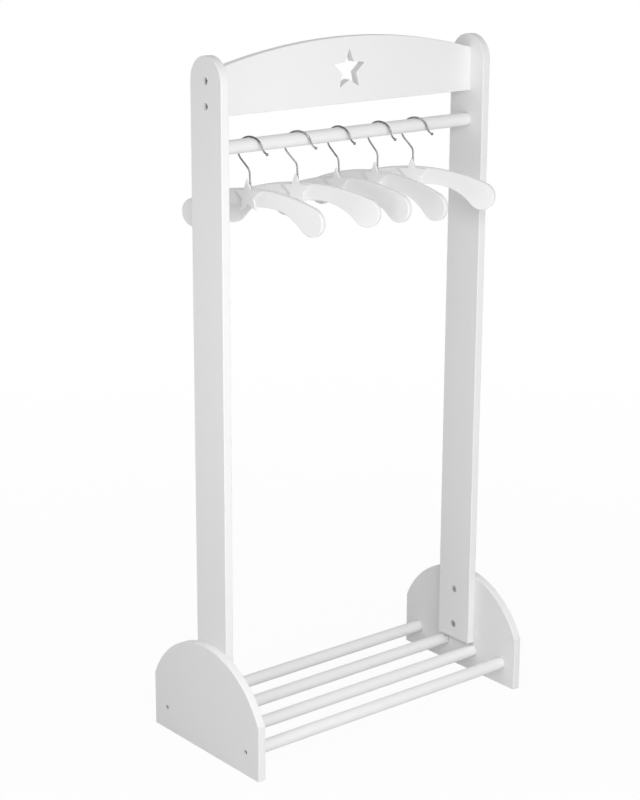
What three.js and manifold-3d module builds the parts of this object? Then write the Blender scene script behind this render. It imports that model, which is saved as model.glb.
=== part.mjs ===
// A kids clothing rack. Two arched side panels carry two round-topped posts. Between the posts are an
// arched head board with a star cut out of it and a rail with five hangers. Between the panels is a shelf
// of dowels. Sizes are millimetres, and the named angles are degrees. X runs along the rail, -Y is the
// front and +Z is up. The origin is on the floor below the middle of the rack.
import * as THREE from "three";
import { mergeVertices } from "three/addons/utils/BufferGeometryUtils.js";
import Module from "manifold-3d";

// Boards
const BOARD = 15; // thickness of the panels, the posts and the head board
const BOARD_ROUND = 2; // rounding along the edges of a board
const FIT = 0.3; // gap between a piece and the seat, hole or face that it meets

// Side panels
const PANEL_SPAN = 575; // between the inner faces of the two panels
const PANEL_DEPTH = 300;
const PANEL_HEIGHT = 195;
const PANEL_EDGE = 97; // height of the straight front and back edges

// Posts
const POST_WIDTH = 82.5; // the top is a half round of this width
const POST_TOP = 1187;
const POST_CLEARANCE = 6; // between the shelf dowels and the foot of a post

// Head board
const HEAD_SHOULDER = 22; // from the top of a post down to the end of the board
const HEAD_END = 75; // height at its two ends
const HEAD_RISE = 35; // how far the crown stands above the ends
const HEAD_STAR = 34.5; // tip radius of the star that is cut out
const HEAD_STAR_HEIGHT = 55; // centre of that star above the bottom edge

// Round bars
const RAIL_DIAMETER = 23;
const RAIL_DROP = 51; // from the head board down to the middle of the rail
const DOWEL_DIAMETER = 22;
const DOWEL_HEIGHT = 42;
const DOWEL_INSET = 36; // from the front or back of a panel to the middle of an outer dowel
const DOWEL_COUNT = 4;
const SOCKET_DEPTH = 8; // how deep a bar's end sits in a post or a panel

// Screws
const SCREW_SHANK = 5;
const SCREW_RIM = 1; // straight part of the head above its cone
const SCREW_SINK = 0.6; // depth of the head below the face
const SCREW_POINT = 4; // length of the pointed end
const KEY_SIZE = 4; // across the flats of the hexagonal recess
const KEY_DEPTH = 2.2;
const POST_SCREW_HEAD = 10;
const HEAD_SCREW_PITCH = 40;
const HEAD_SCREW_BITE = 32; // length inside the head board
const FOOT_SCREW_PITCH = 70;
const FOOT_SCREW_HEIGHT = 122; // middle of the pair above the floor
const FOOT_SCREW_COVER = 4; // wood left between the point and the outer face of the panel
const DOWEL_SCREW_HEAD = 8;
const DOWEL_SCREW_BITE = 32; // length inside the dowel

// Hanger board. Its top edge is one shallow arc, its ends are round and its lower edge is flat in the
// middle.
const HANGER_THICKNESS = 10;
const HANGER_ROUND = 2.5; // rounding along its edges
const HANGER_REACH = 121.5; // from the stem to the centre of a round end
const HANGER_END = 24; // radius of a round end
const HANGER_ARCH = 350; // radius of the top edge
const HANGER_NECK = 29.5; // height at the middle
const HANGER_SWEEP = 90; // radius of the hollow between the flat and a round end
const HANGER_STAR = 28; // tip radius of the star on its face
const HANGER_STAR_THICKNESS = 4.5;
const HANGER_STAR_ROUND = 0.8;
const HANGER_STAR_DROP = 12; // centre of that star below the top edge
const STAR_WAIST = 0.46; // inner radius of a star as a share of its tip radius

// Hook. The wire runs up from the board, leans back at the knee, goes over the rail and flares at its lip.
const WIRE = 3;
const HOOK_BEND = 20.75; // inner radius of the bend over the rail
const HOOK_FORWARD = 3; // how far the centre of the bend stands in front of the stem
const HOOK_DROP = 61.5; // from the centre of the bend down to the top edge of the board
const HOOK_LEAN = 38.5; // angle of the straight part below the bend, from the vertical
const KNEE_BEND = 8;
const LIP_START = 11; // angle above the horizontal where the bend ends
const LIP_BEND = 14;
const LIP_TURN = 42;
const LIP_LENGTH = 3.5;
const TIP_BALL = 5;
const RECESS_DEPTH = 6; // recess for the washer in the underside of the board
const WASHER_DIAMETER = 6.5;
const WASHER_THICKNESS = 1.2;
const RIVET_DIAMETER = 4.8; // peened end of the wire below the washer
const RIVET_THICKNESS = 2;

// Where each hanger is: its place along the free rail from -1 at the left post to 1 at the right one, the
// way its hook points, the turn of its board on the hook, and how far its front end is lifted.
const HANGERS = [
  { along: -0.736, hook: 26, turn: -11.5, lift: 3.2 },
  { along: -0.377, hook: 38, turn: -11, lift: 3 },
  { along: -0.058, hook: 20, turn: -8, lift: 4.5 },
  { along: 0.268, hook: 22.5, turn: -10, lift: 0.4 },
  { along: 0.56, hook: 43, turn: -11, lift: 1.6 },
];

// How finely round forms are divided
const ROUND_STEPS = 2; // steps across the rounding of an edge
const ARCH_STEPS = 24;
const POST_STEPS = 20;
const CROWN_STEPS = 14;
const END_STEPS = 11;
const HOLLOW_STEPS = 4;
const BAR_SIDES = 28;
const SCREW_SIDES = 12;
const WIRE_SIDES = 8;
const WIRE_STEPS = 36;

// Places that follow from the sizes
const RIGHT_ANGLE = Math.PI / 2;
const panelX = PANEL_SPAN / 2 + BOARD / 2;
const postX = PANEL_SPAN / 2 - FIT - BOARD / 2;
const postInner = postX - BOARD / 2;
const postFoot = DOWEL_HEIGHT + DOWEL_DIAMETER / 2 + POST_CLEARANCE;
const headBottom = POST_TOP - HEAD_SHOULDER - HEAD_END;
const headLength = 2 * (postInner - FIT);
const railHeight = headBottom - RAIL_DROP;
const dowelPitch = (PANEL_DEPTH - 2 * DOWEL_INSET) / (DOWEL_COUNT - 1);

const PAINT = { color: 0xf3f3f1, roughness: 0.42, metalness: 0 };
const CHROME = { color: 0xb9bcbf, roughness: 0.18, metalness: 1 };
const ZINC = { color: 0x8b8d90, roughness: 0.4, metalness: 1 };

const radians = THREE.MathUtils.degToRad;
const wasm = await Module();
wasm.setup();

// Turns a closed geometry into a solid that can be cut and joined.
function solidOf(geometry) {
  const bare = geometry.clone();
  bare.deleteAttribute("normal");
  bare.deleteAttribute("uv");
  const merged = mergeVertices(bare, 1e-4);
  const corners = merged.index.array;
  const kept = [];
  for (let i = 0; i < corners.length; i += 3) {
    const [a, b, c] = corners.subarray(i, i + 3);
    if (a !== b && b !== c && c !== a) kept.push(a, b, c);
  }
  const mesh = new wasm.Mesh({
    numProp: 3,
    vertProperties: merged.attributes.position.array,
    triVerts: new Uint32Array(kept),
  });
  return new wasm.Manifold(mesh);
}

function geometryOf(solid) {
  const mesh = solid.getMesh();
  const geometry = new THREE.BufferGeometry();
  geometry.setAttribute("position", new THREE.BufferAttribute(mesh.vertProperties, 3));
  geometry.setIndex(new THREE.BufferAttribute(mesh.triVerts, 1));
  geometry.computeVertexNormals();
  return geometry;
}

// Cuts tools, which are geometries in the frame of the rack, out of a piece that stands at x.
function cut(geometry, tools, x = 0) {
  let solid = solidOf(geometry);
  for (const tool of tools) solid = solid.subtract(solidOf(tool.clone().translate(-x, 0, 0)));
  return geometryOf(solid);
}

function piece(name, geometry, finish) {
  const mesh = new THREE.Mesh(geometry, new THREE.MeshStandardMaterial(finish));
  mesh.name = name;
  return mesh;
}

// Points along an arc from one angle to another, in radians.
function arc(x, y, radius, from, to, steps) {
  return new THREE.EllipseCurve(x, y, radius, radius, from, to, to < from).getPoints(steps);
}

// An arch that rises over a given half width, up to a given height at its crown.
function arch(half, rise, top, steps) {
  const radius = (half * half + rise * rise) / (2 * rise);
  const start = Math.acos(half / radius);
  return arc(0, top - radius, radius, start, Math.PI - start, steps);
}

// A closed outline through stretches of points, without the ones that repeat where stretches meet.
function outline(...stretches) {
  const points = stretches.flat();
  const apart = (p, i) => p.distanceTo(points.at(i - 1)) > FIT / 10;
  return new THREE.Shape(points.filter(apart));
}

function starOutline(radius) {
  const points = [];
  for (let i = 0; i < 10; i += 1) {
    const reach = i % 2 ? radius * STAR_WAIST : radius;
    const angle = RIGHT_ANGLE + (i * Math.PI) / 5;
    points.push(new THREE.Vector2(reach * Math.cos(angle), reach * Math.sin(angle)));
  }
  return new THREE.Shape(points);
}

// A plate of a given thickness, centred on its middle plane, with rounded edges.
function plate(shape, thickness, round) {
  const geometry = new THREE.ExtrudeGeometry(shape, {
    depth: thickness - 2 * round,
    bevelEnabled: round > 0,
    bevelThickness: round,
    bevelSize: round,
    bevelOffset: -round,
    bevelSegments: ROUND_STEPS,
  });
  return geometry.translate(0, 0, round - thickness / 2);
}

// A drawn outline stood up: its own x and y become Y and Z, or X and Z.
const sideways = new THREE.Matrix4().set(0, 0, 1, 0, 1, 0, 0, 0, 0, 1, 0, 0, 0, 0, 0, 1);
const upright = new THREE.Matrix4().set(1, 0, 0, 0, 0, 0, -1, 0, 0, 1, 0, 0, 0, 0, 0, 1);

// A round bar along X.
function bar(diameter, length, sides) {
  return new THREE.CylinderGeometry(diameter / 2, diameter / 2, length, sides).rotateZ(RIGHT_ANGLE);
}

// A countersunk screw with its head up and its length down -Y, or, grown by the fit, the hole for it.
function screwForm(screw, grow, above) {
  const head = screw.head / 2 + grow;
  const shank = SCREW_SHANK / 2 + grow;
  const shoulder = -SCREW_RIM - (screw.head - SCREW_SHANK) / 2;
  const profile = [
    [0, -screw.length - grow],
    [shank, -screw.length + SCREW_POINT - grow],
    [shank, shoulder - grow],
    [head, -SCREW_RIM - grow],
    [head, above],
    [0, above],
  ];
  return new THREE.LatheGeometry(profile.map(([r, y]) => new THREE.Vector2(r, y)), SCREW_SIDES);
}

function screwGeometry(screw) {
  const corner = KEY_SIZE / Math.sqrt(3);
  const key = new THREE.CylinderGeometry(corner, corner, 2 * KEY_DEPTH, 6);
  return cut(screwForm(screw, 0, 0), [key]);
}

// The hole for a screw, open past the face that its head sits in.
function screwHole(screw) {
  const hole = screwForm(screw, FIT, SCREW_SINK + FIT);
  return hole.rotateZ(-screw.facing * RIGHT_ANGLE).translate(screw.x, screw.y, screw.z);
}

// The bars, each with the seat that its ends need.
const bars = [
  {
    name: "hanging_rail",
    diameter: RAIL_DIAMETER,
    half: postInner + SOCKET_DEPTH - FIT,
    y: 0,
    z: railHeight,
  },
];
for (let i = 0; i < DOWEL_COUNT; i += 1) {
  bars.push({
    name: `shelf_dowel_${i + 1}`,
    diameter: DOWEL_DIAMETER,
    half: PANEL_SPAN / 2 + SOCKET_DEPTH - FIT,
    y: (i - (DOWEL_COUNT - 1) / 2) * dowelPitch,
    z: DOWEL_HEIGHT,
  });
}
const seats = bars.map((b) => {
  const seat = bar(b.diameter + 2 * FIT, 2 * (b.half + FIT), BAR_SIDES);
  return seat.translate(0, b.y, b.z);
});

// The screws. A screw's place is the middle of its head's top, and facing is the way along X that it
// faces.
const screws = [];
for (const [side, sign] of [["left", -1], ["right", 1]]) {
  for (const [i, level] of ["upper", "lower"].entries()) {
    const up = 0.5 - i;
    screws.push({
      name: `${side}_head_screw_${level}`,
      head: POST_SCREW_HEAD,
      length: BOARD - SCREW_SINK + FIT + HEAD_SCREW_BITE,
      x: sign * (postX + BOARD / 2 - SCREW_SINK),
      y: 0,
      z: headBottom + HEAD_END / 2 + up * HEAD_SCREW_PITCH,
      facing: sign,
    });
    screws.push({
      name: `${side}_foot_screw_${level}`,
      head: POST_SCREW_HEAD,
      length: 2 * BOARD + FIT - SCREW_SINK - FOOT_SCREW_COVER,
      x: sign * (postInner + SCREW_SINK),
      y: 0,
      z: FOOT_SCREW_HEIGHT + up * FOOT_SCREW_PITCH,
      facing: -sign,
    });
  }
  for (const [place, b] of [["front", bars[1]], ["back", bars[DOWEL_COUNT]]]) {
    screws.push({
      name: `${side}_${place}_dowel_screw`,
      head: DOWEL_SCREW_HEAD,
      length: BOARD - SOCKET_DEPTH + FIT - SCREW_SINK + DOWEL_SCREW_BITE,
      x: sign * (panelX + BOARD / 2 - SCREW_SINK),
      y: b.y,
      z: b.z,
      facing: sign,
    });
  }
}
const holes = screws.map(screwHole);

function panelGeometry() {
  const half = PANEL_DEPTH / 2;
  const base = [new THREE.Vector2(-half, 0), new THREE.Vector2(half, 0)];
  const top = arch(half, PANEL_HEIGHT - PANEL_EDGE, PANEL_HEIGHT, ARCH_STEPS);
  return plate(outline(base, top), BOARD, BOARD_ROUND).applyMatrix4(sideways);
}

function postGeometry() {
  const half = POST_WIDTH / 2;
  const foot = [new THREE.Vector2(-half, postFoot), new THREE.Vector2(half, postFoot)];
  const top = arch(half, half, POST_TOP, POST_STEPS);
  return plate(outline(foot, top), BOARD, BOARD_ROUND).applyMatrix4(sideways);
}

function headGeometry() {
  const half = headLength / 2;
  const bottom = [new THREE.Vector2(-half, headBottom), new THREE.Vector2(half, headBottom)];
  const top = arch(half, HEAD_RISE, headBottom + HEAD_END + HEAD_RISE, ARCH_STEPS);
  const star = plate(starOutline(HEAD_STAR), 2 * BOARD, 0).applyMatrix4(upright);
  star.translate(0, 0, headBottom + HEAD_STAR_HEIGHT);
  const board = plate(outline(bottom, top), BOARD, BOARD_ROUND).applyMatrix4(upright);
  return cut(board, [star, ...holes]);
}

// The outline of a hanger's board. Every stretch runs smoothly into the next one. Zero is where the level
// of the bend's centre meets the stem.
function hangerOutline() {
  const top = -HOOK_DROP;
  const inner = HANGER_ARCH - HANGER_END;
  const endY = top - HANGER_ARCH + Math.sqrt(inner * inner - HANGER_REACH * HANGER_REACH);
  const flatY = top - HANGER_NECK;
  const rise = flatY - HANGER_SWEEP - endY;
  const across = Math.sqrt((HANGER_SWEEP + HANGER_END) ** 2 - rise * rise);
  const flat = HANGER_REACH - across;
  const hollow = Math.atan2(-rise, across);
  const right = Math.acos(HANGER_REACH / inner);
  const left = Math.PI - right;
  const crown = arc(0, top - HANGER_ARCH, HANGER_ARCH, right, left, CROWN_STEPS);
  const leftEnd = arc(-HANGER_REACH, endY, HANGER_END, left, 2 * Math.PI - hollow, END_STEPS);
  const sweepY = flatY - HANGER_SWEEP;
  const leftHollow = arc(-flat, sweepY, HANGER_SWEEP, Math.PI - hollow, RIGHT_ANGLE, HOLLOW_STEPS);
  const rightHollow = arc(flat, sweepY, HANGER_SWEEP, RIGHT_ANGLE, hollow, HOLLOW_STEPS);
  const rightEnd = arc(HANGER_REACH, endY, HANGER_END, hollow - Math.PI, right, END_STEPS);
  return outline(crown, leftEnd, leftHollow, rightHollow, rightEnd);
}

const recessTop = -HOOK_DROP - HANGER_NECK + RECESS_DEPTH;
const washerZ = recessTop - FIT - WASHER_THICKNESS / 2;
const rivetZ = washerZ - WASHER_THICKNESS / 2 - FIT - RIVET_THICKNESS / 2;

// A plain upright cylinder, for holes and for the ends of the wire.
function post(diameter, length, z) {
  const column = new THREE.CylinderGeometry(diameter / 2, diameter / 2, length, SCREW_SIDES);
  return column.rotateX(RIGHT_ANGLE).translate(0, 0, z);
}

function hangerGeometry() {
  const board = plate(hangerOutline(), HANGER_THICKNESS, HANGER_ROUND).applyMatrix4(upright);
  const bore = post(WIRE + 2 * FIT, 2 * HANGER_NECK, -HOOK_DROP - HANGER_NECK / 2);
  const recess = post(WASHER_DIAMETER + 2 * FIT, 2 * RECESS_DEPTH, recessTop - RECESS_DEPTH);
  return cut(board, [bore, recess]);
}

function hangerStarGeometry() {
  const shape = starOutline(HANGER_STAR);
  const star = plate(shape, HANGER_STAR_THICKNESS, HANGER_STAR_ROUND).applyMatrix4(upright);
  const out = HANGER_THICKNESS / 2 + FIT + HANGER_STAR_THICKNESS / 2;
  return star.translate(0, -out, -HOOK_DROP - HANGER_STAR_DROP);
}

// A flat path stood up in the plane of the hook.
class StandingPath extends THREE.Curve {
  constructor(path) {
    super();
    this.path = path;
  }

  getPoint(t, target = new THREE.Vector3()) {
    const flat = this.path.getPoint(t);
    return target.set(flat.x, 0, flat.y);
  }
}

// The middle line of the wire, from its lower end to its tip. The straight part below the bend would cross
// the stem at a point that the knee rounds off.
function hookPath() {
  const bend = HOOK_BEND + WIRE / 2;
  const lean = radians(HOOK_LEAN);
  const straight = (bend * Math.cos(lean) - HOOK_FORWARD) / Math.sin(lean);
  const crossing = -bend * Math.sin(lean) - straight * Math.cos(lean);
  const kneeY = crossing - KNEE_BEND * Math.tan(lean / 2);
  const lip = radians(LIP_START);
  const lipX = HOOK_FORWARD + (bend + LIP_BEND) * Math.cos(lip);
  const lipY = (bend + LIP_BEND) * Math.sin(lip);
  const lipEnd = lip + Math.PI + radians(LIP_TURN);
  const path = new THREE.Path();
  path.moveTo(0, rivetZ);
  path.lineTo(0, kneeY);
  path.absarc(-KNEE_BEND, kneeY, KNEE_BEND, 0, lean, false);
  path.absarc(HOOK_FORWARD, 0, bend, Math.PI + lean, lip, true);
  path.absarc(lipX, lipY, LIP_BEND, lip + Math.PI, lipEnd, false);
  const { x, y } = path.currentPoint;
  path.lineTo(x - LIP_LENGTH * Math.sin(lipEnd), y + LIP_LENGTH * Math.cos(lipEnd));
  return path;
}

function hookGeometry() {
  const path = hookPath();
  const section = new THREE.EllipseCurve(0, 0, WIRE / 2, WIRE / 2, 0, 2 * Math.PI).getPoints(WIRE_SIDES);
  const wire = new THREE.ExtrudeGeometry(new THREE.Shape(section.slice(0, WIRE_SIDES)), {
    steps: WIRE_STEPS,
    extrudePath: new StandingPath(path),
  });
  const tip = path.currentPoint;
  const ball = new THREE.SphereGeometry(TIP_BALL / 2, WIRE_SIDES, WIRE_SIDES - 2);
  const rivet = post(RIVET_DIAMETER, RIVET_THICKNESS, rivetZ);
  const whole = solidOf(wire).add(solidOf(ball.translate(tip.x, 0, tip.y))).add(solidOf(rivet));
  return geometryOf(whole);
}

function washerGeometry() {
  const inner = WIRE / 2 + FIT;
  const outer = WASHER_DIAMETER / 2;
  const half = WASHER_THICKNESS / 2;
  const ring = [
    [inner, -half],
    [outer, -half],
    [outer, half],
    [inner, half],
    [inner, -half],
  ];
  const turned = new THREE.LatheGeometry(ring.map(([r, y]) => new THREE.Vector2(r, y)), SCREW_SIDES);
  return turned.rotateX(RIGHT_ANGLE).translate(0, 0, washerZ);
}

const rack = new THREE.Group();

for (const [side, sign] of [["left", -1], ["right", 1]]) {
  const panelForm = cut(panelGeometry(), [...seats, ...holes], sign * panelX);
  const panel = piece(`${side}_side_panel`, panelForm, PAINT);
  panel.position.x = sign * panelX;
  const postForm = cut(postGeometry(), [...seats, ...holes], sign * postX);
  const upPost = piece(`${side}_post`, postForm, PAINT);
  upPost.position.x = sign * postX;
  rack.add(panel, upPost);
}

rack.add(piece("head_board", headGeometry(), PAINT));

for (const b of bars) {
  const whole = bar(b.diameter, 2 * b.half, BAR_SIDES).translate(0, b.y, b.z);
  rack.add(piece(b.name, cut(whole, holes), PAINT));
}

for (const screw of screws) {
  const mesh = piece(screw.name, screwGeometry(screw), ZINC);
  mesh.rotation.z = -screw.facing * RIGHT_ANGLE;
  mesh.position.set(screw.x, screw.y, screw.z);
  rack.add(mesh);
}

for (const [i, hanger] of HANGERS.entries()) {
  const onRail = new THREE.Group();
  onRail.position.set(hanger.along * postInner, 0, railHeight + RAIL_DIAMETER / 2 + FIT - HOOK_BEND);
  onRail.rotation.set(0, -radians(hanger.lift), radians(hanger.hook) - RIGHT_ANGLE, "ZYX");
  const stem = new THREE.Group();
  stem.position.x = -HOOK_FORWARD;
  stem.add(piece(`hook_${i + 1}`, hookGeometry(), CHROME));
  stem.add(piece(`hook_washer_${i + 1}`, washerGeometry(), ZINC));
  const onHook = new THREE.Group();
  onHook.rotation.z = radians(hanger.turn);
  onHook.add(piece(`hanger_${i + 1}`, hangerGeometry(), PAINT));
  onHook.add(piece(`hanger_star_${i + 1}`, hangerStarGeometry(), PAINT));
  stem.add(onHook);
  onRail.add(stem);
  rack.add(onRail);
}

export default rack;
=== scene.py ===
import math

import bmesh
import bpy
from mathutils import Matrix, Vector


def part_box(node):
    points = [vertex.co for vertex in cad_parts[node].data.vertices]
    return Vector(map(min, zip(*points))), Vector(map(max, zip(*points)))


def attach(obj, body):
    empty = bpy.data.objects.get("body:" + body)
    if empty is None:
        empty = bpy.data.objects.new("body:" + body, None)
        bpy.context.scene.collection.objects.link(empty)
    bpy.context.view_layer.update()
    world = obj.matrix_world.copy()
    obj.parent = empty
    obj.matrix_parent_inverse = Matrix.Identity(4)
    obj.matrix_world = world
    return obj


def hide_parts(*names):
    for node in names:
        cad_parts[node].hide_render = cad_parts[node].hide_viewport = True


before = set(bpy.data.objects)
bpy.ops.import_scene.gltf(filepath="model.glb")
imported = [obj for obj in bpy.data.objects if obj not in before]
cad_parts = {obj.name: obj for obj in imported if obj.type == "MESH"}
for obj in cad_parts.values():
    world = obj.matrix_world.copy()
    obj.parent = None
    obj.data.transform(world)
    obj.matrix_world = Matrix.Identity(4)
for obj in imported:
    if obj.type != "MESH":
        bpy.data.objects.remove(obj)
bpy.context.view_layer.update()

MM = 0.001

# Drawing and shading. Angles are in degrees, here and below.
TOUCH = 0.01 * MM  # corners nearer than this are joined while a piece is drawn
CUT_TOUCH = 0.001 * MM  # corners nearer than this are joined after a cut
SHARP = 28  # from this angle on an edge is sharp, and is rounded
SMOOTH = 30  # up to this angle an edge is shaded smooth
WIRE_SMOOTH = 40
FLAT_WEIGHT = 90  # how far the large faces rule the shading at their borders
FINE_STEPS = 2  # of the smallest roundings

# Boards and bars of the rack
BOARD = 15 * MM
EASE = 1.6 * MM  # rounding along the edges of a board
EASE_STEPS = 4
FIT = 0.3 * MM  # gap between a piece and its seat
SEAM = 0.05 * MM  # gap that is left where two boards are screwed together tight
BAR_SIDES = 64
BAR_EASE = 1 * MM  # rounding round the ends of a bar
BAR_EASE_STEPS = 3
SOCKET_GAP = 0.6 * MM  # gap round a bar where it goes into a board
PANEL_DEPTH = 300 * MM
PANEL_EDGE = 97 * MM  # height of the upright front and back edges
POST_WIDTH = 82.5 * MM
SIDE_STEPS = 96  # along the arc of a panel or a post
HEAD_END = 75 * MM  # height of the head board at its ends
HEAD_STEPS = 128
STAR_CUT = 34.5 * MM  # tip radius of the star in the head board
STAR_CUT_HEIGHT = 55 * MM  # centre of that star above the lower edge
STAR_CUT_REACH = 1.1 * STAR_CUT  # its edges, and no others, are within this of its centre
STAR_CUT_EASE = 0.5 * MM
STAR_WAIST = 0.46  # radius of a star's inner corners, as a share of the tip radius

# Screws
SHANK = 5 * MM
SCREW_POINT = 4 * MM  # length of the pointed end
SCREW_SIDES = 32
SCREW_EASE = 0.25 * MM
SCREW_WELL = 1 * MM  # gap round a head in its hole
HOLE_SIDES = 48
HOLE_MOUTH = 4 * MM  # how far the tool of a hole stands out over the face of the solid's head
KEY_SIZE = 4 * MM  # across the flats of the hexagon recess
KEY_DEPTH = 2.2 * MM
# Each kind: diameter and edge height of its head, and how much deeper than the solid's head it is driven in
SCREW_KINDS = {
    "head": (9.6 * MM, 1 * MM, 2.6 * MM),
    "foot": (11.2 * MM, 1 * MM, 0.5 * MM),
    "dowel": (6.6 * MM, 1 * MM, 2.2 * MM),
}

# Hanger board
HANGER_BOARD = 10 * MM
HANGER_EASE = 2.5 * MM
HANGER_EASE_STEPS = 5
HANGER_REACH = 121.5 * MM  # from the stem to the centre of an end's rounding
HANGER_END = 24 * MM  # radius of the ends
HANGER_ARCH = 350 * MM  # radius of the upper edge
HANGER_NECK = 29.5 * MM  # height of the board at the stem
HANGER_SWEEP = 90 * MM  # radius of the two hollows in the lower edge
CROWN_STEPS = 72
END_STEPS = 40
HOLLOW_STEPS = 24
HANGER_STAR = 28 * MM  # tip radius
HANGER_STAR_BOARD = 4.5 * MM
HANGER_STAR_EASE = 0.8 * MM
HANGER_STAR_EASE_STEPS = 3
HANGER_STAR_DROP = 12 * MM  # from the board's top down to the star's centre

# Hook. The radii of the knee and of the lip are those of the wire's middle line.
WIRE = 3 * MM
WIRE_SIDES = 24
HOOK_BEND = 20.75 * MM  # inner radius of the bend over the rail
HOOK_FORWARD = 3 * MM  # how far the centre of the bend stands in front of the stem
HOOK_DROP = 61.5 * MM  # from the centre of the bend down to the board's top
HOOK_LEAN = 38.5  # of the wire between the knee and the bend
KNEE_BEND = 16 * MM
KNEE_STEPS = 12
BEND_STEPS = 56
LIP_START = 11  # how far above the level of its centre the bend ends in front
LIP_BEND = 14 * MM
LIP_TURN = 42
LIP_STEPS = 10
LIP_LENGTH = 3.5 * MM  # from the end of the lip's arc to the centre of the ball
TIP_BALL = 5 * MM
BALL_STEPS = 12
BALL_END = 88  # at this angle the ball is closed with a small flat
RAIL_TOP = 1050.5 * MM
RAIL_HALF = 272.2 * MM  # from the middle to the inner face of a post

# Foot of the hook, in a recess under the board
RECESS_DEPTH = 6 * MM
BORE_SIDES = 48
WASHER = 6.5 * MM
WASHER_BOARD = 1.2 * MM
WASHER_EASE = 0.2 * MM
WASHER_STEPS = 40
RIVET = 4.8 * MM  # diameter of the peened end
RIVET_HEIGHT = 2 * MM
# Each ring of the peened end, from its face up: share of its height and share of its radius
RIVET_RINGS = [(0, 0.55), (0.12, 0.8), (0.35, 0.95), (0.6, 1), (1, 1)]

# Each hanger: place along the rail as a share of its half, way of the hook to the right of straight ahead,
# turn of the board on it and lift of its front end
HANGERS = [
    (-0.736, 26, -11.5, 3.2),
    (-0.377, 38, -11, 3),
    (-0.058, 20, -8, 4.5),
    (0.268, 22.5, -10, 0.4),
    (0.56, 43, -11, 1.6),
]

RACK = "rack"
SPIN_AXES = {"side": (-1, 0, 0), "front": (0, 1, 0)}


# Drawing. A board is drawn as a closed line in a plane, from one point on, with straight runs and arcs.
# The same two moves bend a wire, when a round face is drawn along in place of a point.


def at(plane, u, v, depth=0.0):
    """A point of a drawing plane: the side plane faces along X and the front plane along Y."""
    return (depth, u, v) if plane == "side" else (u, depth, v)


def clear():
    """Selects nothing."""
    bpy.ops.object.select_all(action="DESELECT")


def named(name):
    """The piece that was just added, with its name."""
    piece = bpy.context.object
    piece.name = name
    piece.data.name = name
    return piece


def take(piece):
    """Makes one piece the only selected one."""
    clear()
    piece.select_set(True)
    bpy.context.view_layer.objects.active = piece


def edit(piece, kind="VERT"):
    """Opens a piece for editing, with all of it selected."""
    take(piece)
    bpy.ops.object.mode_set(mode="EDIT")
    bpy.ops.mesh.select_mode(type=kind)
    bpy.ops.mesh.select_all(action="SELECT")


def done():
    """Ends the editing."""
    bpy.ops.object.mode_set(mode="OBJECT")


def close_shell():
    """Turns the faces of the finished shell outward and ends the editing."""
    bpy.ops.mesh.select_all(action="SELECT")
    bpy.ops.mesh.normals_make_consistent(inside=False)
    done()


def first_point(name, place):
    """Starts a piece with the first point of its line."""
    clear()
    bpy.ops.mesh.primitive_plane_add(size=MM)
    piece = named(name)
    edit(piece)
    bpy.ops.mesh.merge(type="CENTER")
    bpy.ops.transform.translate(value=place)
    return piece


def run(plane, u, v):
    """A straight run of the line or wire that is being drawn."""
    bpy.ops.mesh.extrude_region_move(TRANSFORM_OT_translate={"value": at(plane, u, v)})


def arc(plane, centre, degrees, steps, depth=0.0):
    """An arc of the line or wire round a centre, anticlockwise where degrees is positive."""
    bpy.ops.mesh.spin(
        steps=steps,
        angle=math.radians(degrees),
        center=at(plane, *centre, depth),
        axis=SPIN_AXES[plane],
    )


def spin_round(steps):
    """Spins the line once round Z and joins the two ends of the turn."""
    bpy.ops.mesh.select_all(action="SELECT")
    bpy.ops.mesh.spin(steps=steps, angle=2 * math.pi, center=(0, 0, 0), axis=(0, 0, 1))
    bpy.ops.mesh.select_all(action="SELECT")
    bpy.ops.mesh.remove_doubles(threshold=TOUCH)


def board(name, plane, start, moves, depth, thickness):
    """A board cut along a drawn outline."""
    piece = first_point(name, at(plane, *start, depth))
    for move in moves:
        if len(move) == 2:
            run(plane, *move)
        else:
            arc(plane, *move, depth)
    bpy.ops.mesh.select_all(action="SELECT")
    bpy.ops.mesh.remove_doubles(threshold=TOUCH)
    bpy.ops.mesh.edge_face_add()
    bpy.ops.mesh.extrude_region_move(TRANSFORM_OT_translate={"value": at(plane, 0, 0, thickness)})
    close_shell()
    return piece


def star(name, radius, thickness, centre):
    """A five-pointed plate that faces along Y: a circle of ten corners with every second one drawn in."""
    clear()
    bpy.ops.mesh.primitive_circle_add(
        vertices=10, radius=radius, fill_type="NGON", rotation=(math.pi / 2, 0, 0)
    )
    piece = named(name)
    bpy.ops.object.transform_apply(location=False, rotation=True, scale=False)
    edit(piece)
    mesh = bmesh.from_edit_mesh(piece.data)
    for vertex in mesh.verts:
        turn = math.atan2(vertex.co.x, vertex.co.z) / (math.pi / 5)
        vertex.select_set(round(turn) % 2 == 1)
    mesh.select_flush_mode()
    bmesh.update_edit_mesh(piece.data)
    bpy.ops.transform.resize(value=(STAR_WAIST,) * 3, center_override=(0, 0, 0))
    bpy.ops.mesh.select_all(action="SELECT")
    bpy.ops.transform.translate(value=(centre[0], centre[1] - thickness / 2, centre[2]))
    bpy.ops.mesh.extrude_region_move(TRANSFORM_OT_translate={"value": (0, thickness, 0)})
    close_shell()
    return piece


def round_edges(piece, width, segments, wanted=None):
    """Rounds the sharp edges of a piece, or those of them that are wanted."""
    edit(piece, "EDGE")
    bpy.ops.mesh.select_all(action="DESELECT")
    bpy.ops.mesh.edges_select_sharp(sharpness=math.radians(SHARP))
    if wanted:
        mesh = bmesh.from_edit_mesh(piece.data)
        for edge in mesh.edges:
            if edge.select and not wanted((edge.verts[0].co + edge.verts[1].co) / 2):
                edge.select_set(False)
        bmesh.update_edit_mesh(piece.data)
    bpy.ops.mesh.bevel(offset=width, segments=segments, affect="EDGES", clamp_overlap=True)
    done()


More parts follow.
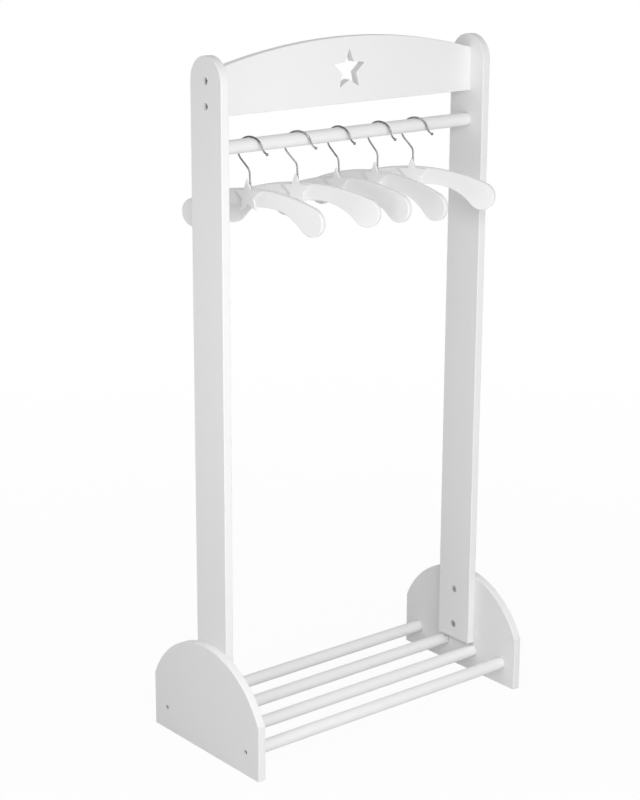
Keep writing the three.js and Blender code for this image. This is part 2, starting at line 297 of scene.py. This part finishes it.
def cut(piece, *tools):
    """Cuts tools out of a piece, and joins the corners that a cut leaves on top of one another."""
    for tool in tools:
        take(piece)
        change = piece.modifiers.new("cut", "BOOLEAN")
        change.operation = "DIFFERENCE"
        change.solver = "EXACT"
        change.object = tool
        bpy.ops.object.modifier_apply(modifier=change.name)
        bpy.data.objects.remove(tool)
    edit(piece)
    bpy.ops.mesh.remove_doubles(threshold=CUT_TOUCH)
    done()


def smooth(piece, degrees=SMOOTH):
    """Smooth shading over roundings, with the flat faces kept flat."""
    take(piece)
    bpy.ops.object.shade_smooth_by_angle(angle=math.radians(degrees), keep_sharp_edges=False)
    change = piece.modifiers.new("flat_faces", "WEIGHTED_NORMAL")
    change.keep_sharp = True
    change.weight = FLAT_WEIGHT
    bpy.ops.object.modifier_apply(modifier=change.name)


def turned(name, profile, steps):
    """A turned piece: a profile of radius and height, spun about Z."""
    piece = first_point(name, (profile[0][0], 0, profile[0][1]))
    for (r0, z0), (r1, z1) in zip(profile, profile[1:]):
        run("front", r1 - r0, z1 - z0)
    spin_round(steps)
    close_shell()
    return piece


def settle(piece, matrix):
    """Moves a piece to its place and puts the place into its mesh."""
    take(piece)
    piece.matrix_world = matrix
    bpy.ops.object.transform_apply(location=True, rotation=True, scale=True)


def copy_of(piece, name):
    """A copy of a piece with its own mesh."""
    take(piece)
    bpy.ops.object.duplicate(linked=False)
    return named(name)


# Finishes


class Flow:
    """A value or colour that runs from one node to the next. Sums of values make their own Math nodes."""

    def __init__(self, finish, socket):
        self.finish = finish
        self.socket = socket

    def math(self, operation, *values):
        return self.finish.node("ShaderNodeMath", {"operation": operation}, *values)

    def __add__(self, other):
        return self.math("ADD", self, other)

    def __radd__(self, other):
        return self.math("ADD", other, self)

    def __sub__(self, other):
        return self.math("SUBTRACT", self, other)

    def __mul__(self, other):
        return self.math("MULTIPLY", self, other)


class Finish:
    """A material, or the air of the studio, and the nodes that it is made of."""

    def __init__(self, owner):
        owner.use_nodes = True
        self.owner = owner
        self.tree = owner.node_tree
        self.tree.nodes.clear()

    def feed(self, socket, value):
        """Links what flows into a socket, or sets the socket to a plain value."""
        if isinstance(value, Flow):
            self.tree.links.new(value.socket, socket)
        else:
            socket.default_value = value

    def node(self, kind, settings=None, *values, output=0, **named_values):
        """Adds a node: first its settings, then the values or links of its sockets."""
        added = self.tree.nodes.new(kind)
        for key, value in (settings or {}).items():
            setattr(added, key, value)
        inputs = dict(enumerate(values))
        inputs.update({key.replace("_", " "): value for key, value in named_values.items()})
        for key, value in inputs.items():
            self.feed(added.inputs[key], value)
        return Flow(self, added.outputs[output])

    def place(self, scale=(1, 1, 1)):
        """The place on the piece, in metres, times a scale for each axis."""
        coordinates = self.node("ShaderNodeTexCoord", output="Object")
        return self.node("ShaderNodeMapping", {"vector_type": "POINT"}, Vector=coordinates, Scale=scale)

    def noise(self, place, scale, detail, roughness=0.5):
        """Noise with about so many waves to the metre."""
        return self.node(
            "ShaderNodeTexNoise", {}, Vector=place, Scale=scale, Detail=detail, Roughness=roughness
        )

    def mix(self, factor, first, second):
        """A mix of two colours. The sockets go by number, because a Mix node has several of each name."""
        mixed = self.node("ShaderNodeMix", {"data_type": "RGBA", "blend_type": "MIX"}, output=2)
        sockets = mixed.socket.node.inputs
        for number, value in ((0, factor), (6, first), (7, second)):
            self.feed(sockets[number], value)
        return mixed

    def surface(self, shader):
        """Ends the nodes with their shader."""
        kind = "World" if isinstance(self.owner, bpy.types.World) else "Material"
        out = self.tree.nodes.new(f"ShaderNodeOutput{kind}")
        self.tree.links.new(shader.socket, out.inputs["Surface"])
        return self.owner


def grey(value, blue=0.0):
    """A plain grey, or with some blue a cooler one."""
    return (value - blue / 2, value, value + blue, 1)


# Each noise: waves to the metre, detail and, where it isn't the usual, roughness
PAINT_CLOUD = (9.0, 3.0)
PAINT_PATCH = (60.0, 2.0)
PAINT_PEEL = (650.0, 1.0)
PAINT_GRAIN = (260.0, 3.0, 0.6)
STEEL_CLOUD = (220.0, 2.0)
STEEL_MARK = (700.0, 2.0)

PAINT_DARK = grey(0.845, 0.003)
PAINT_LIGHT = grey(0.875)
CLOUD_SHARE = 0.5  # of the tone, as the next two
PATCH_SHARE = 0.25
GRAIN_SHARE = 0.25
PAINT_ROUGHNESS = 0.44  # at the least, as patches and peel add to it
PATCH_ROUGHNESS = 0.1
PEEL_ROUGHNESS = 0.06
PAINT_SHINE = 0.3
PAINT_BUMP = 0.25
PAINT_RELIEF = 0.1 * MM
STEEL_SHADE = 0.9  # brightness of the dark clouds, as a share of that of the bright ones
STEEL_BLUE_DARK = 0.006
STEEL_BLUE_BRIGHT = 0.008
STEEL_CLOUD_ROUGHNESS = 0.08
STEEL_MARK_SCALE = (1, 1, 6)  # makes the marks six times as wide as they are high
STEEL_BUMP = 0.08
STEEL_RELIEF = 0.06 * MM


def paint(name, grain_scale, grain_depth):
    """Satin white lacquer, sprayed on: a fine orange peel, faint clouds of tone and a trace of the wood
    under it. A small scale draws that trace out along its axis, and its depth is its share of the relief."""
    f = Finish(bpy.data.materials.new(name))
    place = f.place()
    cloud = f.noise(place, *PAINT_CLOUD)
    patch = f.noise(place, *PAINT_PATCH)
    peel = f.noise(place, *PAINT_PEEL)
    grain = f.noise(f.place(grain_scale), *PAINT_GRAIN)
    tone = cloud * CLOUD_SHARE + patch * PATCH_SHARE + grain * GRAIN_SHARE
    colour = f.mix(tone, PAINT_DARK, PAINT_LIGHT)
    relief = peel * (1 - grain_depth) + grain * grain_depth
    normal = f.node("ShaderNodeBump", {}, Strength=PAINT_BUMP, Distance=PAINT_RELIEF, Height=relief)
    shader = f.node(
        "ShaderNodeBsdfPrincipled",
        Base_Color=colour,
        Roughness=PAINT_ROUGHNESS + patch * PATCH_ROUGHNESS + peel * PEEL_ROUGHNESS,
        Normal=normal,
        Specular_IOR_Level=PAINT_SHINE,
    )
    return f.surface(shader)


def plated(name, bright, dull):
    """Plated steel, for wire, washers and screws: a bright skin with faint clouds and fine marks."""
    f = Finish(bpy.data.materials.new(name))
    cloud = f.noise(f.place(), *STEEL_CLOUD)
    mark = f.noise(f.place(STEEL_MARK_SCALE), *STEEL_MARK)
    colour = f.mix(cloud, grey(bright * STEEL_SHADE, STEEL_BLUE_DARK), grey(bright, STEEL_BLUE_BRIGHT))
    normal = f.node("ShaderNodeBump", {}, Strength=STEEL_BUMP, Distance=STEEL_RELIEF, Height=mark)
    shader = f.node(
        "ShaderNodeBsdfPrincipled",
        Base_Color=colour,
        Metallic=1.0,
        Roughness=dull + cloud * STEEL_CLOUD_ROUGHNESS,
        Normal=normal,
    )
    return f.surface(shader)


board_paint = paint("board_paint", grain_scale=(1, 1, 1), grain_depth=0.3)
turned_paint = paint("turned_paint", grain_scale=(0.05, 1, 1), grain_depth=0.6)
hook_steel = plated("hook_wire", bright=0.27, dull=0.2)
screw_steel = plated("screw_zinc", bright=0.4, dull=0.3)


def finish(piece, node, body, material, slot):
    """Hands a finished piece over: its material, its body and the solid that it stands for."""
    piece.data.materials.clear()
    piece.data.materials.append(material)
    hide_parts(node)
    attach(piece, body)


def painted(piece, node, body=RACK, material=board_paint):
    """Shades a painted piece and hands it over."""
    smooth(piece)
    finish(piece, node, body, material, "white_paint")


# Screws. Each is drawn head up, with the face of the solid's head at height zero, and turned to its place.


def screw_profile(kind, length, top, grow=0.0):
    """Radius and height from the point to the middle of the head, or of a hole that is wider all round."""
    head, rim, sunk = SCREW_KINDS[kind]
    shank = SHANK / 2
    shoulder = sunk + rim + head / 2 - shank
    return [
        (0, -length - grow),
        (shank + grow, SCREW_POINT - length - grow),
        (shank + grow, -shoulder - grow),
        (head / 2 + grow, -sunk - rim - grow),
        (head / 2 + grow, top),
        (0, top),
    ]


screws = []
for side, sign in (("left", -1), ("right", 1)):
    for place, kind, facing in (
        ("head_screw_upper", "head", sign),
        ("head_screw_lower", "head", sign),
        ("foot_screw_upper", "foot", -sign),
        ("foot_screw_lower", "foot", -sign),
        ("front_dowel_screw", "dowel", sign),
        ("back_dowel_screw", "dowel", sign),
    ):
        low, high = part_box(f"{side}_{place}")
        middle = (low + high) / 2
        top = Vector((high.x if facing > 0 else low.x, middle.y, middle.z))
        turn = Matrix.Rotation(facing * math.pi / 2, 4, "Y")
        screws.append((f"{side}_{place}", kind, high.x - low.x, Matrix.Translation(top) @ turn))

for name, kind, length, matrix in screws:
    *_, sunk = SCREW_KINDS[kind]
    screw = turned(name + "_turned", screw_profile(kind, length, -sunk), SCREW_SIDES)
    round_edges(screw, SCREW_EASE, FINE_STEPS)
    clear()
    bpy.ops.mesh.primitive_cylinder_add(
        vertices=6, radius=KEY_SIZE / math.sqrt(3), depth=2 * KEY_DEPTH, location=(0, 0, -sunk)
    )
    cut(screw, named("key"))
    settle(screw, matrix)
    smooth(screw)
    finish(screw, name, RACK, screw_steel, "screw_steel")


def holes(*words):
    """The holes of the screws whose names hold one of these words."""
    tools = []
    for name, kind, length, matrix in screws:
        if any(word in name for word in words):
            profile = screw_profile(kind, length, HOLE_MOUTH, SCREW_WELL)
            tool = turned(name + "_hole", profile, HOLE_SIDES)
            settle(tool, matrix)
            tools.append(tool)
    return tools


# Boards and bars of the rack

BARS = ["hanging_rail", "shelf_dowel_1", "shelf_dowel_2", "shelf_dowel_3", "shelf_dowel_4"]


def arch(half, rise):
    """Radius of an arc that rises this far over that half width, and the angle that half of it takes."""
    radius = (half * half + rise * rise) / (2 * rise)
    return radius, math.degrees(math.asin(half / radius))


def rod(name, node, grow=0.0, stretch=0.0):
    """A round bar along X of the size of a solid, or thicker all round and longer at both ends."""
    low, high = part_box(node)
    clear()
    bpy.ops.mesh.primitive_cylinder_add(
        vertices=BAR_SIDES,
        radius=(high.z - low.z) / 2 + grow,
        depth=high.x - low.x + 2 * stretch,
        location=(low + high) / 2,
        rotation=(0, math.pi / 2, 0),
    )
    piece = named(name)
    bpy.ops.object.transform_apply(location=True, rotation=True, scale=False)
    return piece


def socket(node):
    """The hole in a board for the end of a bar."""
    return rod(node + "_socket", node, SOCKET_GAP, FIT)


for side in ("left", "right"):
    low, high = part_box(f"{side}_side_panel")
    half = PANEL_DEPTH / 2
    radius, angle = arch(half, high.z - PANEL_EDGE)
    moves = [
        (2 * half, 0),
        (0, PANEL_EDGE),
        ((0, high.z - radius), 2 * angle, SIDE_STEPS),
        (0, -PANEL_EDGE),
    ]
    panel = board(f"{side}_panel_board", "side", (-half, 0), moves, low.x, BOARD)
    round_edges(panel, EASE, EASE_STEPS)
    sockets = [socket(bar) for bar in BARS[1:]]
    cut(panel, *sockets, *holes(f"{side}_foot", f"{side}_front", f"{side}_back"))
    painted(panel, f"{side}_side_panel")

    low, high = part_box(f"{side}_post")
    half = POST_WIDTH / 2
    shoulder = high.z - half
    moves = [
        (2 * half, 0),
        (0, shoulder - low.z),
        ((0, shoulder), 180, SIDE_STEPS),
        (0, low.z - shoulder),
    ]
    outward = FIT - SEAM  # to the panel, so that no dark line shows between them
    start = low.x - outward if side == "left" else low.x
    post = board(f"{side}_post_board", "side", (-half, low.z), moves, start, BOARD + outward)
    round_edges(post, EASE, EASE_STEPS)
    cut(post, socket(BARS[0]), *holes(f"{side}_head", f"{side}_foot"))
    painted(post, f"{side}_post")

low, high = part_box("head_board")
half = high.x + FIT - SEAM
radius, angle = arch(half, high.z - low.z - HEAD_END)
moves = [
    (2 * half, 0),
    (0, HEAD_END),
    ((0, high.z - radius), 2 * angle, HEAD_STEPS),
    (0, -HEAD_END),
]
head_board = board("head_board_arched", "front", (-half, low.z), moves, low.y, BOARD)
# The ends stay square, because they stand against the posts.
round_edges(head_board, EASE, EASE_STEPS, lambda middle: abs(middle.x) < half - MM)
star_centre = Vector((0, 0, low.z + STAR_CUT_HEIGHT))
cut(head_board, star("star_tool", STAR_CUT, 2 * BOARD, star_centre), *holes("head_screw"))
round_edges(
    head_board, STAR_CUT_EASE, FINE_STEPS, lambda middle: (middle - star_centre).length < STAR_CUT_REACH
)
painted(head_board, "head_board")

for bar in BARS:
    piece = rod(bar + "_turned", bar)
    round_edges(piece, BAR_EASE, BAR_EASE_STEPS)
    if bar == BARS[1]:
        cut(piece, *holes("front_dowel"))
    if bar == BARS[-1]:
        cut(piece, *holes("back_dowel"))
    painted(piece, bar, RACK, turned_paint)


# Hangers. One is drawn with its stem on the Z axis, its front end along +X and the centre of the hook's bend
# at height zero, and then copied.

board_top = -HOOK_DROP
inner = HANGER_ARCH - HANGER_END
end_height = board_top - HANGER_ARCH + math.sqrt(inner**2 - HANGER_REACH**2)
flat_height = board_top - HANGER_NECK
rise = flat_height - HANGER_SWEEP - end_height
across = math.sqrt((HANGER_SWEEP + HANGER_END) ** 2 - rise**2)
flat = HANGER_REACH - across
lean = math.degrees(math.asin(HANGER_REACH / inner))
hollow = math.degrees(math.atan2(-rise, across))
crown_start = (
    HANGER_ARCH * math.sin(math.radians(lean)),
    board_top - HANGER_ARCH + HANGER_ARCH * math.cos(math.radians(lean)),
)
hanger_moves = [
    ((0, board_top - HANGER_ARCH), 2 * lean, CROWN_STEPS),
    ((-HANGER_REACH, end_height), 270 - hollow - lean, END_STEPS),
    ((-flat, flat_height - HANGER_SWEEP), hollow - 90, HOLLOW_STEPS),
    (2 * flat, 0),
    ((flat, flat_height - HANGER_SWEEP), hollow - 90, HOLLOW_STEPS),
    ((HANGER_REACH, end_height), 270 - hollow - lean, END_STEPS),
]
recess_top = flat_height + RECESS_DEPTH
washer_height = recess_top - FIT - WASHER_BOARD / 2
rivet_top = washer_height - WASHER_BOARD / 2 - FIT


def bore(name, radius, low, high):
    """The tool for a round hole along Z."""
    clear()
    bpy.ops.mesh.primitive_cylinder_add(
        vertices=BORE_SIDES, radius=radius, depth=high - low, location=(0, 0, (low + high) / 2)
    )
    return named(name)


def hanger_board():
    """The curved board, with the hole for the stem and the recess under it."""
    piece = board("hanger_pattern", "front", crown_start, hanger_moves, -HANGER_BOARD / 2, HANGER_BOARD)
    round_edges(piece, HANGER_EASE, HANGER_EASE_STEPS)
    shaft = bore("shaft", WIRE / 2 + FIT, flat_height - RECESS_DEPTH, board_top + RECESS_DEPTH)
    recess = bore("recess", WASHER / 2 + FIT, flat_height - RECESS_DEPTH, recess_top)
    cut(piece, shaft, recess)
    return piece


def hanger_star():
    """The star plate, in front of the board's face."""
    depth = HANGER_BOARD / 2 + FIT + HANGER_STAR_BOARD / 2
    centre = (0, -depth, board_top - HANGER_STAR_DROP)
    piece = star("hanger_star_pattern", HANGER_STAR, HANGER_STAR_BOARD, centre)
    round_edges(piece, HANGER_STAR_EASE, HANGER_STAR_EASE_STEPS)
    return piece


def washer():
    """The washer, spun from its section with the corners eased."""
    inside = WIRE / 2 + FIT
    middle = (WASHER / 2 + inside) / 2
    clear()
    bpy.ops.mesh.primitive_plane_add(
        size=1, rotation=(math.pi / 2, 0, 0), location=(middle, 0, washer_height)
    )
    piece = named("washer_pattern")
    piece.scale = (WASHER / 2 - inside, WASHER_BOARD, 1)
    bpy.ops.object.transform_apply(location=True, rotation=True, scale=True)
    edit(piece)
    bpy.ops.mesh.bevel(offset=WASHER_EASE, segments=FINE_STEPS, affect="VERTICES")
    bpy.ops.mesh.select_all(action="SELECT")
    bpy.ops.mesh.delete(type="ONLY_FACE")
    spin_round(WASHER_STEPS)
    close_shell()
    return piece


def swell(direction, rings):
    """Draws the round face on along a direction, to each next distance and radius."""
    (reached, radius), *rest = rings
    for distance, wider in rest:
        u, v = (distance - reached) * direction.x, (distance - reached) * direction.y
        run("front", u, v)
        bpy.ops.transform.resize(value=(wider / radius,) * 3)
        reached, radius = distance, wider


def hook():
    """The wire, from its peened end under the washer, up past the knee and over the rail to its ball."""
    bend = HOOK_BEND + WIRE / 2
    slant = math.radians(HOOK_LEAN)
    slope = Vector((-math.sin(slant), math.cos(slant)))
    bend_start = Vector((HOOK_FORWARD, 0)) - bend * Vector((math.cos(slant), math.sin(slant)))
    crossing = bend_start - bend_start.x / slope.x * slope  # of the slant with the stem's line
    knee_side = KNEE_BEND * math.tan(slant / 2)  # from there to either end of the knee
    knee = crossing.y - knee_side
    rivet_rings = [(along * RIVET_HEIGHT, wide * RIVET / 2) for along, wide in RIVET_RINGS]
    clear()
    bpy.ops.mesh.primitive_circle_add(
        vertices=WIRE_SIDES,
        radius=rivet_rings[0][1],
        fill_type="NGON",
        location=(0, 0, rivet_top - RIVET_HEIGHT),
    )
    piece = named("hook_pattern")
    bpy.ops.object.transform_apply(location=True, rotation=False, scale=False)
    edit(piece, "FACE")
    swell(Vector((0, 1)), rivet_rings + [(RIVET_HEIGHT, WIRE / 2)])
    run("front", 0, knee - rivet_top)
    arc("front", (-KNEE_BEND, knee), HOOK_LEAN, KNEE_STEPS)
    run("front", *(bend_start - crossing - knee_side * slope))
    arc("front", (HOOK_FORWARD, 0), LIP_START - 180 - HOOK_LEAN, BEND_STEPS)

    lip = math.radians(LIP_START)
    reach = bend + LIP_BEND
    lip_centre = (HOOK_FORWARD + reach * math.cos(lip), reach * math.sin(lip))
    arc("front", lip_centre, LIP_TURN, LIP_STEPS)
    way = math.radians(LIP_START + LIP_TURN)
    direction = Vector((math.sin(way), -math.cos(way)))

    ball = TIP_BALL / 2
    meet = math.sqrt(ball**2 - (WIRE / 2) ** 2)  # from the ball's centre back to where the wire meets it
    first = -math.degrees(math.asin(meet / ball))
    ball_rings = [(0, WIRE / 2), (LIP_LENGTH - meet, WIRE / 2)]
    for step in range(1, BALL_STEPS + 1):
        tilt = math.radians(first + step * (BALL_END - first) / BALL_STEPS)
        ball_rings.append((LIP_LENGTH + ball * math.sin(tilt), ball * math.cos(tilt)))
    swell(direction, ball_rings)
    close_shell()
    return piece


patterns = {
    "hanger": hanger_board(),
    "hanger_star": hanger_star(),
    "hook_washer": washer(),
    "hook": hook(),
}

for i, (along, way, turn, lift) in enumerate(HANGERS, start=1):
    on_rail = (
        Matrix.Translation((along * RAIL_HALF, 0, RAIL_TOP + FIT - HOOK_BEND))
        @ Matrix.Rotation(math.radians(way - 90), 4, "Z")
        @ Matrix.Rotation(-math.radians(lift), 4, "Y")
        @ Matrix.Translation((-HOOK_FORWARD, 0, 0))
    )
    on_hook = on_rail @ Matrix.Rotation(math.radians(turn), 4, "Z")
    for kind, matrix, body in (
        ("hanger", on_hook, f"hanger_board_{i}"),
        ("hanger_star", on_hook, f"hanger_board_{i}"),
        ("hook_washer", on_rail, f"hook_and_washer_{i}"),
        ("hook", on_rail, f"hook_and_washer_{i}"),
    ):
        piece = copy_of(patterns[kind], f"{kind}_{i}_shaped")
        settle(piece, matrix)
        if kind.startswith("hanger"):
            painted(piece, f"{kind}_{i}", body)
        else:
            smooth(piece, WIRE_SMOOTH)
            metal = (hook_steel, "hook_steel") if kind == "hook" else (screw_steel, "screw_steel")
            finish(piece, f"{kind}_{i}", body, *metal)

for pattern in patterns.values():
    bpy.data.objects.remove(pattern)


# Studio

FLOOR_SIZE = 60
FLOOR_GREY = 0.7  # colour of the floor for the light that it sends back
FLOOR_WHITE = 0.95  # share of plain white in what is seen of the floor near the rack
FLOOR_FADE = 2.5  # distance from the rack at which the floor is about all white
FLOOR_SOFTNESS = 0.3  # how softly it gets there

AIR_LOW = 0.0  # light that comes in level or from below
AIR_HIGH = 0.56  # light from above
AIR_TOP = 0.5  # sine of the angle from which on the light is the one from above
WALL_TOP = 0.2  # sine of the angle up to which the walls are seen white
CEILING_START = 0.7  # sine of the angle from which on the ceiling is seen
CEILING = 0.35  # how light the ceiling is seen, mostly in the wire of the hooks

# Each lamp: place, aim, size and power
LAMPS = {
    "key_lamp": ((-1.6, -2.5, 2.0), (0, 0, 0.6), 1.2, 31),
    "front_lamp": ((-0.15, -1.7, 0.75), (0, 0, 0.6), 0.8, 8.6),
    "left_lamp": ((-1.16, -0.31, 0.8), (0, 0, 0.65), 0.7, 2.5),
}


def seen(f):
    """1 where the camera, a mirror or glass sees it, and 0 for its light on others."""
    kinds = ("Camera", "Glossy", "Transmission")
    rays = [f.node("ShaderNodeLightPath", output=f"Is {kind} Ray") for kind in kinds]
    total = rays[0] + rays[1] + rays[2]
    return total.math("MINIMUM", total, 1.0)


f = Finish(bpy.data.materials.new("studio_floor"))
place = f.node("ShaderNodeTexCoord", output="Object")
distance = f.node("ShaderNodeVectorMath", {"operation": "LENGTH"}, place, output="Value")
fade = distance.math("SMOOTH_MIN", distance * (1 / FLOOR_FADE), 1.0, FLOOR_SOFTNESS)
share = fade * (1 - FLOOR_WHITE) + FLOOR_WHITE
soft = f.node("ShaderNodeBsdfDiffuse", Color=(FLOOR_GREY, FLOOR_GREY, FLOOR_GREY, 1))
white = f.node("ShaderNodeEmission", Color=(1, 1, 1, 1), Strength=1.0)
f.surface(f.node("ShaderNodeMixShader", {}, seen(f) * share, soft, white))
clear()
bpy.ops.mesh.primitive_plane_add(size=FLOOR_SIZE)
floor = named("studio_floor")
floor.data.materials.append(f.owner)

world = bpy.data.worlds.new("studio_air")
bpy.context.scene.world = world
f = Finish(world)
direction = f.node("ShaderNodeTexCoord", output="Generated")
height = f.node("ShaderNodeSeparateXYZ", {}, direction, output="Z")
light = f.node("ShaderNodeMapRange", {}, height, 0.0, AIR_TOP, AIR_LOW, AIR_HIGH)
shown = f.node("ShaderNodeMapRange", {}, height, WALL_TOP, CEILING_START, 1.0, CEILING)
strength = light + seen(f) * (shown - light)
f.surface(f.node("ShaderNodeBackground", Color=(1, 1, 1, 1), Strength=strength))

for name, (place, target, size, power) in LAMPS.items():
    lamp_data = bpy.data.lights.new(name, "AREA")
    lamp_data.shape = "DISK"
    lamp_data.size = size
    lamp_data.energy = power
    lamp = bpy.data.objects.new(name, lamp_data)
    bpy.context.scene.collection.objects.link(lamp)
    lamp.location = place
    lamp.visible_camera = False
    way = Vector(target) - Vector(place)
    lamp.rotation_euler = way.to_track_quat("-Z", "Y").to_euler()

# Camera, placed as the photograph was taken. Its angles are in radians.

CAMERA_EYE = (-2.16173, -2.59846, 1.57029)
CAMERA_YAW = -0.70704
CAMERA_PITCH = -0.28961
CAMERA_ROLL = 0.0122
CAMERA_LENS = 91.552
CAMERA_SHIFT = (-0.0618, 0.009)

ahead = Vector((
    -math.sin(CAMERA_YAW) * math.cos(CAMERA_PITCH),
    math.cos(CAMERA_YAW) * math.cos(CAMERA_PITCH),
    math.sin(CAMERA_PITCH),
))
level = Vector((math.cos(CAMERA_YAW), math.sin(CAMERA_YAW), 0))
upward = level.cross(ahead)
camera_x = math.cos(CAMERA_ROLL) * level + math.sin(CAMERA_ROLL) * upward
camera_y = -math.sin(CAMERA_ROLL) * level + math.cos(CAMERA_ROLL) * upward
turned_to = Matrix((camera_x, camera_y, -ahead)).transposed()
camera_data = bpy.data.cameras.new("photo_camera")
camera_data.lens = CAMERA_LENS
camera_data.shift_x, camera_data.shift_y = CAMERA_SHIFT
camera = bpy.data.objects.new("photo_camera", camera_data)
bpy.context.scene.collection.objects.link(camera)
camera.location = CAMERA_EYE
camera.rotation_euler = turned_to.to_euler()
bpy.context.scene.camera = camera

bpy.context.scene.view_settings.view_transform = "Standard"
